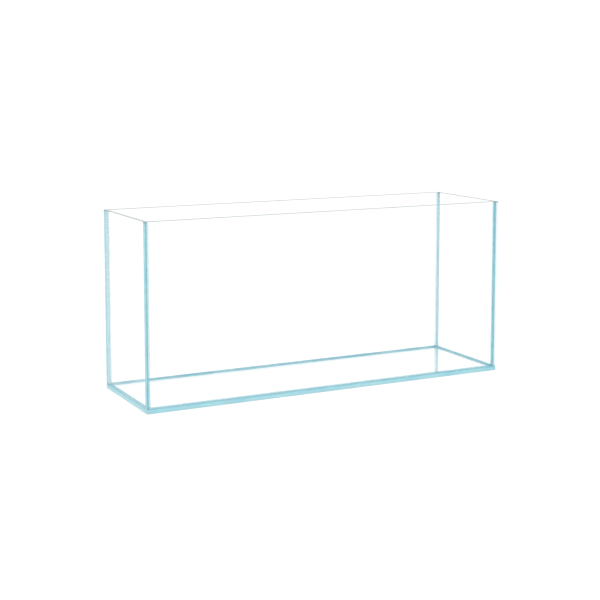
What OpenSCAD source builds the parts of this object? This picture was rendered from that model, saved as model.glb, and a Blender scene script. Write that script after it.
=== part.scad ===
// Rimless glass aquarium tank.
// Five flat panes of glass are joined with silicone. The four walls stand on the base pane, and
// the two end panes fit between the front and back panes. A tooled bead of silicone seals every
// inside corner.
// The origin is the centre of the base's underside: +X runs along the tank, +Y to its back, +Z up.

/* [Tank] */
// Outside length of the tank
tank_length = 1200; // [600:10:2000]
// Outside depth of the tank, front to back
tank_depth = 350; // [200:10:800]
// Outside height of the tank
tank_height = 550; // [200:10:800]

/* [Glass] */
// Thickness of the four wall panes
wall_glass = 10; // [6:1:19]
// Thickness of the base pane
base_glass = 12; // [6:1:25]
// Width of the polished bevel along every edge of the glass
arris = 1; // [0.5:0.25:1.5]

/* [Silicone] */
// Thickness of the silicone between two panes
bond_gap = 1; // [0.5:0.25:2]
// Leg of the sealing bead, measured along each pane from the inside corner
seal_leg = 5; // [4:0.5:12]

/* [Hidden] */

wall_bottom = base_glass + bond_gap;
wall_height = tank_height - wall_bottom;
inside_length = tank_length - 2 * wall_glass;
inside_depth = tank_depth - 2 * wall_glass;
end_pane_depth = inside_depth - 2 * bond_gap;

// Each bond is as wide as the flat of the wall's edge, and flares out to fill the outer bevels
bond_width = wall_glass - arris;
flare_half = bond_gap / 2 + arris;

// The bead's face is a shallow hollow arc that meets both panes at a clear angle
cove_centre = 2 * seal_leg;
cove_radius = norm([cove_centre, cove_centre - seal_leg]);
$fn = 128;

glass_colour = [0.62, 0.82, 0.85, 0.45];
silicone_colour = [0.80, 0.90, 0.91, 0.70];

// ---- Glass ----

// Rectangle about the origin with its four corners bevelled
module bevelled_outline(width, height) {
    x = width / 2;
    y = height / 2;
    polygon([
        [x - arris, y], [x, y - arris], [x, arris - y], [x - arris, -y],
        [arris - x, -y], [-x, arris - y], [-x, y - arris], [arris - x, y]
    ]);
}

// Flat sheet about the origin with a bevel along all twelve edges
module glass_sheet(size) {
    intersection() {
        linear_extrude(size.z, center = true) bevelled_outline(size.x, size.y);
        rotate([90, 0, 0]) linear_extrude(size.y, center = true) bevelled_outline(size.x, size.z);
        rotate([90, 0, 90]) linear_extrude(size.x, center = true) bevelled_outline(size.y, size.z);
    }
}

// Front pane: full length of the tank
module long_wall() {
    translate([0, (wall_glass - tank_depth) / 2, wall_bottom + wall_height / 2])
        glass_sheet([tank_length, wall_glass, wall_height]);
}

// Left end pane: fits between the front and back panes
module end_wall() {
    translate([(wall_glass - tank_length) / 2, 0, wall_bottom + wall_height / 2])
        glass_sheet([wall_glass, end_pane_depth, wall_height]);
}

module base_pane() {
    color(glass_colour) translate([0, 0, base_glass / 2])
        glass_sheet([tank_length, tank_depth, base_glass]);
}

module front_pane() {
    color(glass_colour) long_wall();
}

module back_pane() {
    color(glass_colour) mirror([0, 1, 0]) long_wall();
}

module left_pane() {
    color(glass_colour) end_wall();
}

module right_pane() {
    color(glass_colour) mirror([1, 0, 0]) end_wall();
}

// ---- Silicone between the panes ----

// Section of a bond: x runs inwards from the tank's outer face, and y across the gap
module bond_section() {
    polygon([
        [0, -flare_half], [arris, -bond_gap / 2], [bond_width, -bond_gap / 2],
        [bond_width, bond_gap / 2], [arris, bond_gap / 2], [0, flare_half]
    ]);
}

// Bond under the front pane, ending where the bevels at its two ends begin
module long_base_bond() {
    translate([0, -tank_depth / 2, base_glass + bond_gap / 2])
        rotate([90, 0, 90])
            linear_extrude(tank_length - 2 * arris, center = true) bond_section();
}

// Bond under the left end pane, running up to the bonds under the front and back panes
module end_base_bond() {
    translate([-tank_length / 2, 0, base_glass + bond_gap / 2])
        rotate([90, 0, 0])
            linear_extrude(inside_depth + 2 * arris, center = true) bond_section();
}

// Bond at the front left corner, between the front pane's inside face and the end pane's edge
module corner_bond() {
    translate([-tank_length / 2, (bond_gap - inside_depth) / 2, wall_bottom + arris])
        linear_extrude(wall_height - 2 * arris) bond_section();
}

module front_base_bond() {
    color(silicone_colour) long_base_bond();
}

module back_base_bond() {
    color(silicone_colour) mirror([0, 1, 0]) long_base_bond();
}

module left_base_bond() {
    color(silicone_colour) end_base_bond();
}

module right_base_bond() {
    color(silicone_colour) mirror([1, 0, 0]) end_base_bond();
}

module front_left_bond() {
    color(silicone_colour) corner_bond();
}

module front_right_bond() {
    color(silicone_colour) mirror([1, 0, 0]) corner_bond();
}

module back_left_bond() {
    color(silicone_colour) mirror([0, 1, 0]) corner_bond();
}

module back_right_bond() {
    color(silicone_colour) rotate([0, 0, 180]) corner_bond();
}

// ---- Silicone beads that seal the inside corners ----

// Section of a bead in the corner at the origin: x runs away from the pane that stands on or
// against the other, and y away from that other pane. It fills the gap back to the bond.
module seal_section() {
    difference() {
        polygon([
            [-arris, 0], [seal_leg, 0], [0, seal_leg],
            [0, bond_gap + arris], [-arris, bond_gap]
        ]);
        translate([cove_centre, cove_centre]) circle(cove_radius);
    }
}

// Bead along the foot of the front pane, before its ends are mitred
module long_seal_run() {
    translate([0, -inside_depth / 2, base_glass])
        rotate([90, 0, 90])
            linear_extrude(inside_length + 2 * arris, center = true) seal_section();
}

// Bead along the foot of the left end pane, before its ends are mitred
module end_seal_run() {
    translate([-inside_length / 2, 0, base_glass])
        rotate([90, 0, 0])
            linear_extrude(inside_depth + 2 * arris, center = true) seal_section();
}

// Bead along the foot of the front pane, mitred at both ends
module long_base_seal() {
    x = inside_length / 2;
    y = inside_depth / 2;
    intersection() {
        long_seal_run();
        linear_extrude(base_glass + seal_leg) polygon([
            [-x - arris, -y - arris], [x + arris, -y - arris],
            [x - seal_leg, seal_leg - y], [seal_leg - x, seal_leg - y]
        ]);
    }
}

// Bead along the foot of the left end pane, mitred at both ends
module end_base_seal() {
    x = inside_length / 2;
    y = inside_depth / 2;
    intersection() {
        end_seal_run();
        linear_extrude(base_glass + seal_leg) polygon([
            [-x - arris, -y - arris], [seal_leg - x, seal_leg - y],
            [seal_leg - x, y - seal_leg], [-x - arris, y + arris]
        ]);
    }
}

// Upright bead in the front left corner, coped over the two beads along the base
module corner_seal() {
    difference() {
        translate([-inside_length / 2, -inside_depth / 2, base_glass])
            linear_extrude(tank_height - arris - base_glass) seal_section();
        long_seal_run();
        end_seal_run();
    }
}

module front_base_seal() {
    color(silicone_colour) long_base_seal();
}

module back_base_seal() {
    color(silicone_colour) mirror([0, 1, 0]) long_base_seal();
}

module left_base_seal() {
    color(silicone_colour) end_base_seal();
}

module right_base_seal() {
    color(silicone_colour) mirror([1, 0, 0]) end_base_seal();
}

module front_left_seal() {
    color(silicone_colour) corner_seal();
}

module front_right_seal() {
    color(silicone_colour) mirror([1, 0, 0]) corner_seal();
}

module back_left_seal() {
    color(silicone_colour) mirror([0, 1, 0]) corner_seal();
}

module back_right_seal() {
    color(silicone_colour) rotate([0, 0, 180]) corner_seal();
}

base_pane();
front_pane();
back_pane();
left_pane();
right_pane();
front_base_bond();
back_base_bond();
left_base_bond();
right_base_bond();
front_left_bond();
front_right_bond();
back_left_bond();
back_right_bond();
front_base_seal();
back_base_seal();
left_base_seal();
right_base_seal();
front_left_seal();
front_right_seal();
back_left_seal();
back_right_seal();
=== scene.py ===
"""Looks of the rimless glass aquarium tank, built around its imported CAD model.

Every pane is rebuilt as a sheet of polished glass with soft bevels, and every joint line as a
tooled run of clear silicone, all placed from the CAD nodes' own boxes.
"""

import math

import bmesh
import bpy
from mathutils import Matrix, Vector


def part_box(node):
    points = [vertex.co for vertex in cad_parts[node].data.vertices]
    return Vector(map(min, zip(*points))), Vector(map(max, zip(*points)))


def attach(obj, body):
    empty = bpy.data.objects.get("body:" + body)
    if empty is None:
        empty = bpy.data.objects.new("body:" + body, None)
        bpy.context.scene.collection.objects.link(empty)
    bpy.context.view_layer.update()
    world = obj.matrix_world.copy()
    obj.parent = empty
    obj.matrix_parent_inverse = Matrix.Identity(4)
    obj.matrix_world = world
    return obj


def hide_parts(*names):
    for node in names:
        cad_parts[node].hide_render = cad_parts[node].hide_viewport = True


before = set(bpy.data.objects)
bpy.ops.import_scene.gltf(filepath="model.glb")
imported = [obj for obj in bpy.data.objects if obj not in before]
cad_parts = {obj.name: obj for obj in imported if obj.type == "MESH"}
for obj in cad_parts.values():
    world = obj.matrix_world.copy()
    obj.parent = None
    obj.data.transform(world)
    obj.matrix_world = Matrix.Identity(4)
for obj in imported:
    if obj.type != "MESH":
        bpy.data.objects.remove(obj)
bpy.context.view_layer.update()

# ---- Sizes, in metres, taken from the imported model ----

MM = 0.001
ARRIS = 1.0 * MM  # bevel along the edges of the glass
ARRIS_SOFTENING = 0.12 * MM  # rounding that polishing leaves on the bevel's own edges
HAIRLINE = 0.05 * MM  # keeps a silicone face clear of the glass face that it touches

_, base_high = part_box("base_pane")
front_low, front_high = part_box("front_pane")
_, left_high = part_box("left_pane")
_, seal_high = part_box("front_left_seal")

BASE_TOP = base_high.z
WALL_FOOT = front_low.z
RIM = front_high.z
GAP = WALL_FOOT - BASE_TOP
WALL = front_high.y - front_low.y
OUTER_X = base_high.x
OUTER_Y = base_high.y
INNER_X = -left_high.x
INNER_Y = -front_high.y
SEAL_LEG = seal_high.x - left_high.x


# ---- Node helpers ----


def new_material(name):
    """An empty node material, with its tree and output."""
    material = bpy.data.materials.new(name)
    material.use_nodes = True
    tree = material.node_tree
    tree.nodes.clear()
    return material, tree, tree.nodes.new("ShaderNodeOutputMaterial")


def add(tree, kind, settings=None, **inputs):
    """A new node. settings are its own properties, and inputs are values or sockets by input name."""
    made = tree.nodes.new("ShaderNode" + kind)
    for key, value in (settings or {}).items():
        setattr(made, key, value)
    for key, value in inputs.items():
        socket = made.inputs[key.replace("_", " ")]
        if isinstance(value, bpy.types.NodeSocket):
            tree.links.new(value, socket)
        else:
            socket.default_value = value
    return made


def maths(tree, operation, a, b=0.0):
    """The result of a Math node on two values or sockets."""
    made = tree.nodes.new("ShaderNodeMath")
    made.operation = operation
    for socket, value in zip(made.inputs, (a, b)):
        if isinstance(value, bpy.types.NodeSocket):
            tree.links.new(value, socket)
        else:
            socket.default_value = value
    return made.outputs[0]


def between(tree, value, low, high, out_low=0.0, out_high=1.0):
    """value mapped from low..high to out_low..out_high, and held inside that range."""
    limits = {"From_Min": low, "From_Max": high, "To_Min": out_low, "To_Max": out_high}
    return add(tree, "MapRange", {"clamp": True}, Value=value, **limits).outputs["Result"]


def blended(tree, factor, a, b):
    """A colour between a and b, each of them three numbers or a socket. The colour sockets of a
    Mix node are its inputs 6 and 7 and its output 2."""
    made = tree.nodes.new("ShaderNodeMix")
    made.data_type = "RGBA"
    for index, value in ((0, factor), (6, a), (7, b)):
        if isinstance(value, bpy.types.NodeSocket):
            tree.links.new(value, made.inputs[index])
        else:
            made.inputs[index].default_value = value if index == 0 else (*value, 1.0)
    return made.outputs[2]


def speckle(tree, position, scale, stretch=(1, 1, 1), detail=2.0):
    """A noise value over the object's own coordinates. scale is in features per metre."""
    mapped = add(tree, "Mapping", Vector=position, Scale=stretch)
    return add(tree, "TexNoise", Vector=mapped.outputs[0], Scale=scale, Detail=detail).outputs["Fac"]


def mixed_shader(tree, share, behind, front):
    """The shader behind, covered by the shader front as far as share says."""
    made = tree.nodes.new("ShaderNodeMixShader")
    for socket, source in zip(made.inputs, (share, behind, front)):
        tree.links.new(source, socket)
    return made.outputs[0]


def met_from_outside(tree):
    """1 where a surface is met from outside the piece, and 0 where it is met from within."""
    return maths(tree, "SUBTRACT", 1.0, add(tree, "NewGeometry").outputs["Backfacing"])


# ---- Materials ----
# Solidity is how much of a surface's look is its own, from 0, all see-through, to 1. Scales are in
# features per metre, and tones are a deep, a pale and a dull colour.

GLASS_IOR = 1.52
SILICONE_IOR = 1.41
WHITE = (1.0, 1.0, 1.0, 1.0)

FLOAT_WAVE = 3.0  # scale of the slight waviness of float glass
WIPE_MARKS = 26.0
WIPE_STRETCH = (1.0, 1.0, 0.25)
MOST_MIRROR = 0.95
MOST_DUST = 0.015
DUST_COLOUR = (0.86, 0.90, 0.90, 1.0)


def clear_face(name, see_tint, gain, grazing_gain):
    """A broad face of a pane: clear, with the sheet's reflections, a trace of haze and wipe marks.
    The gains scale the reflections, grazing_gain only towards a grazing angle."""
    material, tree, output = new_material(name)
    position = add(tree, "TexCoord").outputs["Object"]
    wave = speckle(tree, position, FLOAT_WAVE)
    wipes = speckle(tree, position, WIPE_MARKS, WIPE_STRETCH, 5.0)
    bump = add(tree, "Bump", Height=wave, Strength=0.02, Distance=2 * MM).outputs[0]

    # Light is reflected by both faces of the sheet, again and again between them: 2F / (1 + F).
    fresnel = add(tree, "Fresnel", IOR=GLASS_IOR, Normal=bump).outputs[0]
    twice = maths(tree, "MULTIPLY", fresnel, 2.0)
    both_faces = maths(tree, "DIVIDE", twice, maths(tree, "ADD", fresnel, 1.0))
    total_gain = maths(tree, "ADD", maths(tree, "MULTIPLY", fresnel, grazing_gain), gain)
    mirror = maths(tree, "MINIMUM", maths(tree, "MULTIPLY", both_faces, total_gain), MOST_MIRROR)
    mirror = maths(tree, "MULTIPLY", mirror, met_from_outside(tree))
    roughness = between(tree, wipes, 0.45, 0.75, 0.0, 0.05)
    shine = add(tree, "BsdfGlossy", Color=WHITE, Roughness=roughness, Normal=bump).outputs[0]

    see_through = add(tree, "BsdfTransparent", Color=(*see_tint, 1.0)).outputs[0]
    dust = add(tree, "BsdfDiffuse", Color=DUST_COLOUR).outputs[0]
    dust_share = between(tree, wipes, 0.55, 0.80, 0.0, MOST_DUST)
    film = mixed_shader(tree, dust_share, see_through, dust)
    tree.links.new(mixed_shader(tree, mirror, film, shine), output.inputs["Surface"])
    return material


TONE_PATCHES = 15.0
DULL_PATCHES = 23.0
DULL_STRETCH = (1.3, 1.3, 1.3)
DULL_SHARE = 0.5
GRAIN_SHARE = 0.25
LEVEL_GRAIN = (4, 4, 700)  # the polishing wheel's marks run level, along the edge
UPRIGHT_GRAIN = (700, 700, 4)
FINE_GRAIN = (300, 300, 300)
EDGE_SEE_TINT = (0.90, 0.945, 0.96, 1.0)

DARK_TOP = 9 * MM  # an upright edge starts to darken this far below the rim
DARK_TOP_COLOUR = (0.13, 0.18, 0.185)
DARK_TOP_SOLIDITY = 0.8


def polished_edge(name, tones, outside, inside, grain, roughness=0.07, dark_top=False):
    """A narrow face of a pane. Light that has run the length of the sheet leaves here blue-green.
    outside and inside are its solidity met from in front and from within the glass."""
    material, tree, output = new_material(name)
    deep, pale, dull = tones
    position = add(tree, "TexCoord").outputs["Object"]
    drift = between(tree, speckle(tree, position, TONE_PATCHES), 0.32, 0.68)
    fade = between(tree, speckle(tree, position, DULL_PATCHES, DULL_STRETCH), 0.45, 0.65)
    marks = speckle(tree, position, 1.0, grain, 3.0)
    streaks = between(tree, marks, 0.25, 0.75)
    colour = blended(tree, drift, deep, pale)
    colour = blended(tree, maths(tree, "MULTIPLY", fade, DULL_SHARE), colour, dull)
    colour = blended(tree, maths(tree, "MULTIPLY", streaks, GRAIN_SHARE), colour, pale)
    solidity = between(tree, met_from_outside(tree), 0.0, 1.0, inside, outside)
    if dark_top:
        height = add(tree, "SeparateXYZ", Vector=position).outputs["Z"]
        end = between(tree, height, RIM - DARK_TOP, RIM - DARK_TOP / 3)
        colour = blended(tree, end, colour, DARK_TOP_COLOUR)
        end_solidity = maths(tree, "MULTIPLY", end, DARK_TOP_SOLIDITY)
        solidity = maths(tree, "MAXIMUM", solidity, end_solidity)
    bump = add(tree, "Bump", Height=marks, Strength=0.12, Distance=0.2 * MM).outputs[0]
    gloss = between(tree, marks, 0.2, 0.8, roughness, roughness * 2.5)
    surface = add(tree, "BsdfPrincipled", Base_Color=colour, Normal=bump, Roughness=gloss)
    surface.inputs["IOR"].default_value = GLASS_IOR
    see_through = add(tree, "BsdfTransparent", Color=EDGE_SEE_TINT).outputs[0]
    mixed = mixed_shader(tree, solidity, see_through, surface.outputs[0])
    tree.links.new(mixed, output.inputs["Surface"])
    return material


CLOUDS = 22.0
MILKINESS = 0.15  # how far a cloudy patch goes towards white
BUBBLE_SHARE = 0.6
BUBBLE_COLOUR = (0.85, 0.92, 0.93)
SILICONE_SEE_TINT = (0.93, 0.965, 0.97, 1.0)


def silicone(name, colour, head_on, grazing, inside, ripple, bubbles):
    """Clear silicone: soft, with tooling ripples and small bubbles of these scales. head_on and
    grazing are its solidity by angle, and inside is the share of it left when met from within."""
    material, tree, output = new_material(name)
    position = add(tree, "TexCoord").outputs["Object"]
    ripples = speckle(tree, position, ripple, (1, 1, 1), 3.0)
    cloud = between(tree, speckle(tree, position, CLOUDS, (1, 1, 1), 4.0), 0.35, 0.65)
    cells = add(tree, "TexVoronoi", {"feature": "F1"}, Vector=position, Scale=bubbles)
    bubble = between(tree, cells.outputs["Distance"], 0.05, 0.16, 1.0, 0.0)
    cloudy = tuple(MILKINESS + (1 - MILKINESS) * channel for channel in colour)
    tone = blended(tree, cloud, colour, cloudy)
    tone = blended(tree, maths(tree, "MULTIPLY", bubble, BUBBLE_SHARE), tone, BUBBLE_COLOUR)
    facing = add(tree, "LayerWeight", Blend=0.35).outputs["Facing"]
    solidity = between(tree, facing, 0.0, 1.0, head_on, grazing)
    side = between(tree, met_from_outside(tree), 0.0, 1.0, inside, 1.0)
    solidity = maths(tree, "MULTIPLY", solidity, side)
    bump = add(tree, "Bump", Height=ripples, Strength=0.35, Distance=0.6 * MM).outputs[0]
    gloss = between(tree, ripples, 0.2, 0.8, 0.16, 0.34)
    surface = add(tree, "BsdfPrincipled", Base_Color=tone, Normal=bump, Roughness=gloss)
    surface.inputs["IOR"].default_value = SILICONE_IOR
    see_through = add(tree, "BsdfTransparent", Color=SILICONE_SEE_TINT).outputs[0]
    mixed = mixed_shader(tree, solidity, see_through, surface.outputs[0])
    tree.links.new(mixed, output.inputs["Surface"])
    return material


WALL_TINT = (0.992, 0.998, 0.998)
BASE_TINT = (0.990, 0.998, 0.998)

wall_face = clear_face("wall_glass_face", WALL_TINT, gain=0.55, grazing_gain=0.0)
base_face = clear_face("base_glass_face", BASE_TINT, gain=0.90, grazing_gain=2.60)
base_underside = clear_face("base_glass_underside", BASE_TINT, gain=0.2, grazing_gain=0.0)

EDGE_TONES = (0.258, 0.585, 0.690), (0.350, 0.678, 0.725), (0.315, 0.530, 0.570)
RIM_TONES = (0.11, 0.23, 0.26), (0.18, 0.31, 0.33), (0.17, 0.22, 0.23)
ARRIS_TONES = (0.28, 0.60, 0.70), (0.38, 0.68, 0.75), (0.32, 0.54, 0.58)
RIM_ARRIS_TONES = (0.28, 0.30, 0.30), (0.36, 0.37, 0.37), (0.31, 0.31, 0.31)
# The bevel under the base is painted darker than the other bevels: painted shade where it sits low
# against the floor.
FOOT_ARRIS_SHADE_TONES = (0.16, 0.36, 0.44), (0.22, 0.42, 0.48), (0.18, 0.32, 0.36)
SATIN = 0.2  # roughness of an edge that stands in a joint
GROUND = 0.22  # roughness of a bevel

level_edge = polished_edge("level_edge", EDGE_TONES, 0.93, 0.70, LEVEL_GRAIN)
upright_edge = polished_edge("upright_edge", EDGE_TONES, 1.00, 0.14, UPRIGHT_GRAIN, dark_top=True)
bonded_edge = polished_edge(
    "bonded_edge", EDGE_TONES, 0.92, 0.45, UPRIGHT_GRAIN, roughness=SATIN, dark_top=True
)
rim_edge = polished_edge("rim_edge", RIM_TONES, 0.90, 0.40, LEVEL_GRAIN)
arris_band = polished_edge("arris", ARRIS_TONES, 0.80, 0.30, FINE_GRAIN, GROUND)
rim_arris = polished_edge("rim_arris", RIM_ARRIS_TONES, 0.90, 0.30, FINE_GRAIN, GROUND)
foot_arris_shaded = polished_edge("foot_arris_shaded", FOOT_ARRIS_SHADE_TONES, 0.90, 0.30, FINE_GRAIN, GROUND)

BOND_TEXTURE = {"ripple": 160.0, "bubbles": 210.0}
BEAD_TEXTURE = {"ripple": 90.0, "bubbles": 170.0}

# Each bead has two materials: its free face, and its faces wetted to the glass.
bond_silicone = silicone("bond_silicone", (0.24, 0.69, 0.80), 0.25, 0.60, 0.30, **BOND_TEXTURE)
base_seal_materials = [
    silicone("base_seal_silicone", (0.15, 0.41, 0.49), 0.84, 0.97, 0.22, **BEAD_TEXTURE),
    silicone("base_seal_wetted", (0.14, 0.70, 0.84), 0.30, 0.54, 0.50, **BEAD_TEXTURE),
]
upright_seal_materials = [
    silicone("upright_seal_silicone", (0.34, 0.56, 0.60), 0.20, 0.40, 1.00, **BEAD_TEXTURE),
    silicone("upright_seal_wetted", (0.22, 0.60, 0.68), 0.30, 0.54, 0.30, **BEAD_TEXTURE),
]


# ---- Mesh helpers ----


def put(name, mesh, materials):
    """A new object for mesh, riding on the tank."""
    piece = bpy.data.objects.new(name, mesh)
    bpy.context.scene.collection.objects.link(piece)
    for material in materials:
        mesh.materials.append(material)
    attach(piece, "root")
    return piece


def steep_edges(mesh_data, least, most):
    """The edges where two faces meet at an angle between least and most, in degrees."""
    found = []
    for edge in mesh_data.edges:
        if len(edge.link_faces) == 2 and least < math.degrees(edge.calc_face_angle()) < most:
            found.append(edge)
    return found


# The six faces of a sheet, by the numbers of its corners, counted up through x, then y, then z.
SHEET_FACES = ((0, 1, 3, 2), (4, 6, 7, 5), (0, 4, 5, 1), (2, 3, 7, 6), (0, 2, 6, 4), (1, 5, 7, 3))
SQUARE_ON = 0.5  # a face looks along an axis if its normal goes further along it than this
TILTED = 0.2  # a bevel looks up or down if its normal rises or falls by more than this
SOFTENED_BENDS = (20, 70)  # degrees: the bevel's own edges bend by 35 and by 45


def bevel(sheet, edges, width, segments, material_number):
    """Bevels these edges of a sheet and gives the new faces this material."""
    bmesh.ops.bevel(
        sheet, geom=edges, offset=width, offset_type="OFFSET", segments=segments,
        profile=0.5, affect="EDGES", clamp_overlap=True, material=material_number,
    )
    sheet.normal_update()


def glass_sheet(node, materials, choose):
    """Stands a polished sheet of glass in for a CAD pane. choose gives a face's material from its
    normal. Bevels at the rim take a material of their own, and bevels at the foot take one painted
    darker as painted shade, if materials has one."""
    low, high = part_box(node)
    sheet = bmesh.new()
    corners = []
    for x in (low.x, high.x):
        for y in (low.y, high.y):
            for z in (low.z, high.z):
                corners.append(sheet.verts.new((x, y, z)))
    for ring in SHEET_FACES:
        sheet.faces.new([corners[i] for i in ring])
    sheet.normal_update()
    for face in sheet.faces:
        face.material_index = materials.index(choose(face.normal))
    arris_number = materials.index(arris_band)
    bevel(sheet, sheet.edges[:], ARRIS, 1, arris_number)
    bevel(sheet, steep_edges(sheet, *SOFTENED_BENDS), ARRIS_SOFTENING, 2, arris_number)
    for face in sheet.faces:
        if face.material_index == arris_number:
            if rim_arris in materials and face.normal.z > TILTED:
                face.material_index = materials.index(rim_arris)
            # Bevels that look down take the darker foot tones, which are painted shade.
            if foot_arris_shaded in materials and face.normal.z < -TILTED:
                face.material_index = materials.index(foot_arris_shaded)
    mesh = bpy.data.meshes.new(node + "_glass")
    sheet.to_mesh(mesh)
    sheet.free()
    mesh.shade_smooth()
    piece = put(node + "_glass", mesh, materials)
    weighted = piece.modifiers.new("flat_faces", "WEIGHTED_NORMAL")
    weighted.mode = "FACE_AREA"
    weighted.weight = 50
    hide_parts(node)
    return piece


CREASE = math.radians(35)  # edges of silicone steeper than this stay crisp


def swept(name, rings, materials, free_sides=0):
    """A closed tube through rings of points, with a flat cap at each end. The first free_sides
    sides of its outline take the first material, and the rest and the caps take the last."""
    mesh_data = bmesh.new()
    loops = [[mesh_data.verts.new(point) for point in ring] for ring in rings]
    last = len(materials) - 1
    for one, two in zip(loops, loops[1:]):
        for i in range(len(one)):
            j = (i + 1) % len(one)
            side = mesh_data.faces.new((one[i], one[j], two[j], two[i]))
            side.material_index = 0 if i < free_sides else last
    for cap in (loops[0][::-1], loops[-1]):
        mesh_data.faces.new(cap).material_index = last
    bmesh.ops.recalc_face_normals(mesh_data, faces=mesh_data.faces)
    mesh = bpy.data.meshes.new(name)
    mesh_data.to_mesh(mesh)
    mesh_data.free()
    mesh.shade_smooth()
    mesh.set_sharp_from_angle(angle=CREASE)
    return put(name, mesh, materials)


# The waves in a hand's wobble: height, turn in radians per metre, and how often phase counts.
HAND_WAVES = ((1.0, 31.0, 1.0), (0.6, 73.0, 2.1), (0.4, 149.0, 3.7))
HAND_WAVES_HEIGHT = 2.0  # of all the waves together


def hand_wave(distance, phase):
    """A slow wobble from -1 to 1 along a joint, as a hand leaves it."""
    waves = [height * math.sin(distance * turn + often * phase) for height, turn, often in HAND_WAVES]
    return sum(waves) / HAND_WAVES_HEIGHT


def stations(length, pitch):
    """Even places from 0 to 1 along a run, about pitch apart."""
    count = max(2, round(length / pitch))
    return [i / count for i in range(count + 1)]


# ---- Panes ----


def base_choice(normal):
    """The material of the base's face with this normal."""
    if normal.z > SQUARE_ON:
        return base_face
    if normal.z < -SQUARE_ON:
        return base_underside
    return level_edge


def wall_choice(thin, end_edge):
    """The same for a wall whose thickness is along axis number thin and whose two upright edges
    are of material end_edge."""
    def choose(normal):
        if abs(normal[thin]) > SQUARE_ON:
            return wall_face
        if normal.z > SQUARE_ON:
            return rim_edge
        if normal.z < -SQUARE_ON:
            return bonded_edge
        return end_edge
    return choose


BASE_MATERIALS = [base_face, level_edge, base_underside, arris_band, foot_arris_shaded]
WALL_MATERIALS = [wall_face, upright_edge, rim_edge, bonded_edge, arris_band, rim_arris]

glass_sheet("base_pane", BASE_MATERIALS, base_choice)
for node in ("front_pane", "back_pane"):
    glass_sheet(node, WALL_MATERIALS, wall_choice(1, upright_edge))
for node in ("left_pane", "right_pane"):
    glass_sheet(node, WALL_MATERIALS, wall_choice(0, bonded_edge))


# ---- Silicone between the panes ----

BOND_PITCH = 12 * MM
TOOLED_HOLLOW = 0.12 * MM  # how far the wiped outer face of a bond sinks in, at the least
INNER_BULGE = 0.1 * MM  # how far its inner face wanders in and out


def bond_outline(wave):
    """Outline of a bond: inwards from the outer face, and across the gap. It fills the outer bevels."""
    half = GAP / 2 - HAIRLINE
    mouth = GAP / 2 + ARRIS - 2 * HAIRLINE
    hollow = TOOLED_HOLLOW * (1.5 + 0.5 * wave)
    inner = WALL - ARRIS
    bulge = inner + INNER_BULGE * wave
    return [
        (HAIRLINE, -mouth), (ARRIS, -half), (inner, -half), (bulge, 0.0), (inner, half),
        (ARRIS, half), (HAIRLINE, mouth), (hollow, mouth / 2), (hollow, -mouth / 2),
    ]


def bond(name, start, end, inwards, across, phase):
    """A run of bond from start to end, both on the tank's outer face in the middle of the gap."""
    start, end, inwards, across = Vector(start), Vector(end), Vector(inwards), Vector(across)
    length = (end - start).length
    rings = []
    for share in stations(length, BOND_PITCH):
        centre = start.lerp(end, share)
        outline = bond_outline(hand_wave(share * length, phase))
        rings.append([centre + inwards * x + across * y for x, y in outline])
    piece = swept(name + "_silicone", rings, [bond_silicone])
    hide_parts(name)


gap_height = BASE_TOP + GAP / 2
bond_half_x = OUTER_X - ARRIS
bond_half_y = INNER_Y + ARRIS - HAIRLINE
for number, (side, sign) in enumerate((("front", -1), ("back", 1))):
    y = sign * OUTER_Y
    start, end = (-bond_half_x, y, gap_height), (bond_half_x, y, gap_height)
    bond(f"{side}_base_bond", start, end, (0, -sign, 0), (0, 0, 1), 1.0 + number)
for number, (side, sign) in enumerate((("left", -1), ("right", 1))):
    x = sign * OUTER_X
    start, end = (x, -bond_half_y, gap_height), (x, bond_half_y, gap_height)
    bond(f"{side}_base_bond", start, end, (-sign, 0, 0), (0, 0, 1), 3.0 + number)

for number, (depth, y_sign) in enumerate((("front", -1), ("back", 1))):
    for side, x_sign in (("left", -1), ("right", 1)):
        y = y_sign * (INNER_Y - GAP / 2)
        start = (x_sign * OUTER_X, y, WALL_FOOT + ARRIS)
        end = (x_sign * OUTER_X, y, RIM - ARRIS)
        bond(f"{depth}_{side}_bond", start, end, (-x_sign, 0, 0), (0, 1, 0), 5.0 + number + x_sign)


# ---- Seal beads in the inside corners ----

SEAL_PITCH = 7 * MM
SEAL_WAVE = 0.35 * MM
SEAL_FADE = 14 * MM  # the wobble dies away this far from a corner, so that the beads meet
ARC_STEPS = 7

# A bead's hollow face is an arc that meets each pane one leg away from the corner. Its centre is two
# legs away from both panes, so the square of its radius is five legs squared.


def cove(leg):
    """Points on a bead's hollow face, from its foot on one pane to its foot on the other."""
    centre, radius = 2 * leg, math.sqrt(5) * leg
    first, last = math.atan2(-2, -1), math.atan2(-1, -2)
    turns = [first + (last - first) * i / ARC_STEPS for i in range(ARC_STEPS + 1)]
    return [(centre + radius * math.cos(t), centre + radius * math.sin(t)) for t in turns]


def seal_outline(leg):
    """Outline of a bead: away from the standing pane, and away from the other pane."""
    face = [(max(x, HAIRLINE), max(y, HAIRLINE)) for x, y in cove(leg)]
    groove = GAP + ARRIS
    back = [(HAIRLINE, groove), (HAIRLINE - ARRIS, GAP - HAIRLINE), (HAIRLINE - ARRIS, HAIRLINE)]
    return face + back


def cove_height(distance):
    """How high a full bead stands above one pane at this distance from the other."""
    leg = SEAL_LEG
    if distance >= leg:
        return 0.0
    return 2 * leg - math.sqrt(5 * leg * leg - (distance - 2 * leg) ** 2)


def leg_at(place, length, phase):
    """The bead's leg at a place along its run, never more than the CAD bead's."""
    fade = min(1.0, place / SEAL_FADE, (length - place) / SEAL_FADE)
    return SEAL_LEG - SEAL_WAVE * fade * (1 + hand_wave(place, phase))


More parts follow.
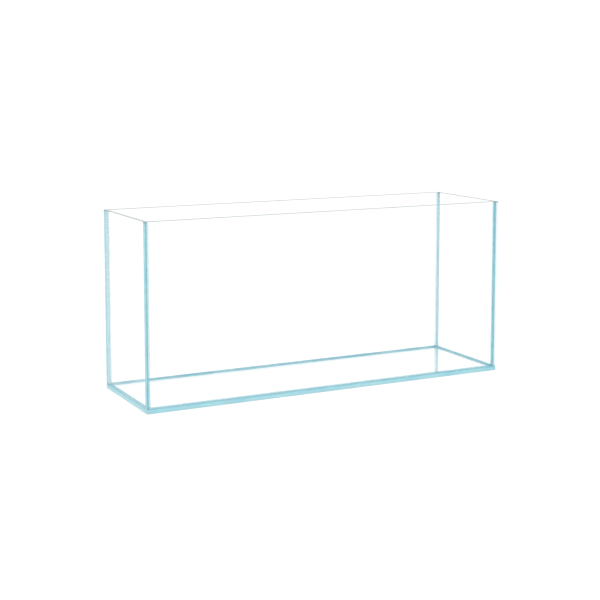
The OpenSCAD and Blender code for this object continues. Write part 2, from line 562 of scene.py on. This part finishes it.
def base_seal(name, half_length, wall, along, inwards, phase):
    """A bead along the foot of a wall, mitred at both ends. wall is the wall's inside face."""
    along, inwards = Vector(along), Vector(inwards)
    length = 2 * half_length
    rings = []
    for share in stations(length, SEAL_PITCH):
        outline = seal_outline(leg_at(share * length, length, phase))
        rings.append([
            along * ((2 * share - 1) * (half_length - x - HAIRLINE))
            + inwards * (x - wall)
            + Vector((0, 0, BASE_TOP + y))
            for x, y in outline
        ])
    piece = swept(name + "_silicone", rings, base_seal_materials, ARC_STEPS)
    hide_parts(name)


def upright_seal(name, x_sign, y_sign, phase):
    """A bead up one inside corner, coped over the two beads along the base."""
    top = RIM - ARRIS - HAIRLINE
    length = top - BASE_TOP
    rings = []
    for share in stations(length, SEAL_PITCH):
        leg = leg_at(share * length, length, phase)
        ring = []
        for x, y in seal_outline(leg):
            rise = max(cove_height(max(x, 0.0)), cove_height(max(y, 0.0))) + HAIRLINE
            foot = BASE_TOP + rise
            height = foot + (top - foot) * share
            ring.append(Vector((x_sign * (INNER_X - x), y_sign * (INNER_Y - y), height)))
        rings.append(ring)
    piece = swept(name + "_silicone", rings, upright_seal_materials, ARC_STEPS)
    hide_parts(name)


base_seal("front_base_seal", INNER_X, INNER_Y, (1, 0, 0), (0, 1, 0), 0.4)
base_seal("back_base_seal", INNER_X, INNER_Y, (-1, 0, 0), (0, -1, 0), 1.9)
base_seal("left_base_seal", INNER_Y, INNER_X, (0, 1, 0), (1, 0, 0), 3.1)
base_seal("right_base_seal", INNER_Y, INNER_X, (0, -1, 0), (-1, 0, 0), 4.6)
upright_seal("front_left_seal", -1, -1, 0.9)
upright_seal("front_right_seal", 1, -1, 2.3)
upright_seal("back_left_seal", -1, 1, 3.8)
upright_seal("back_right_seal", 1, 1, 5.2)


# ---- Floor, light and camera ----

FLOOR_HALF = 40.0  # metres
FLOOR_DROP = 0.2 * MM  # the base's underside stays clear of the floor by a hair
FLOOR_PATCHES = 1.5
FLOOR_TONES = (0.348, 0.348, 0.348), (0.352, 0.352, 0.352)
FLOOR_GLOW = 0.685
WORLD_STRENGTH = 1.05
LAMP_SIDE = 6.0  # metres
LAMP_WATTS = 60.0
LAMP_PLACE = (0.6, -1.0, 5.0)  # metres


def floor_material():
    """A plain white studio floor with the faintest unevenness, lit from within like a light table."""
    material, tree, output = new_material("studio_floor")
    position = add(tree, "TexCoord").outputs["Object"]
    tone = between(tree, speckle(tree, position, FLOOR_PATCHES), 0.3, 0.7)
    colour = blended(tree, tone, *FLOOR_TONES)
    glow = add(tree, "Emission", Color=WHITE, Strength=FLOOR_GLOW)
    both = add(tree, "AddShader")
    tree.links.new(add(tree, "BsdfDiffuse", Color=colour).outputs[0], both.inputs[0])
    tree.links.new(glow.outputs[0], both.inputs[1])
    tree.links.new(both.outputs[0], output.inputs["Surface"])
    return material


def make_floor():
    """A large flat floor under the tank, which isn't part of it."""
    mesh = bpy.data.meshes.new("floor")
    signs = [(-1, -1), (1, -1), (1, 1), (-1, 1)]
    corners = [(x * FLOOR_HALF, y * FLOOR_HALF, -FLOOR_DROP) for x, y in signs]
    mesh.from_pydata(corners, [], [(0, 1, 2, 3)])
    mesh.materials.append(floor_material())
    floor = bpy.data.objects.new("floor", mesh)
    bpy.context.scene.collection.objects.link(floor)


def make_world():
    """An even white surround."""
    world = bpy.data.worlds.new("studio")
    world.use_nodes = True
    background = world.node_tree.nodes["Background"]
    background.inputs["Color"].default_value = WHITE
    background.inputs["Strength"].default_value = WORLD_STRENGTH
    bpy.context.scene.world = world


def make_lamp():
    """One large soft lamp overhead."""
    lamp = bpy.data.lights.new("overhead", "AREA")
    lamp.shape = "RECTANGLE"
    lamp.size, lamp.size_y = LAMP_SIDE, LAMP_SIDE
    lamp.energy = LAMP_WATTS
    holder = bpy.data.objects.new("overhead", lamp)
    holder.location = LAMP_PLACE
    bpy.context.scene.collection.objects.link(holder)


AZIMUTH, ELEVATION = -27.20, 6.42  # degrees: the camera looks from the front left, a little above
DISTANCE = 3.489  # of the tank's length, from the base's centre
SIDE_STEP, RISE = -0.0171, 0.4431  # of the tank's length, across and up the view
LENS, SENSOR = 79.62, 36.0  # millimetres
SHIFT = -0.15  # of the picture's width; the view moves downwards


def make_camera():
    """The camera at the photograph's angle."""
    turn, tilt = math.radians(AZIMUTH), math.radians(ELEVATION)
    length = 2 * OUTER_X
    right = Vector((math.cos(turn), math.sin(turn), 0))
    back = Vector((math.sin(turn) * math.cos(tilt), -math.cos(turn) * math.cos(tilt), math.sin(tilt)))
    up = back.cross(right)
    data = bpy.data.cameras.new("camera")
    data.lens, data.sensor_width, data.shift_y = LENS, SENSOR, SHIFT
    camera = bpy.data.objects.new("camera", data)
    place = (back * DISTANCE + right * SIDE_STEP + up * RISE) * length
    facing = Matrix((right, up, back)).transposed().to_4x4()
    camera.matrix_world = Matrix.Translation(place) @ facing
    bpy.context.scene.collection.objects.link(camera)
    bpy.context.scene.camera = camera


make_floor()
make_world()
make_lamp()
make_camera()

scene = bpy.context.scene
scene.view_settings.view_transform = "Standard"
scene.view_settings.look = "None"
scene.cycles.transparent_max_bounces = 64  # a ray can cross every pane and bead
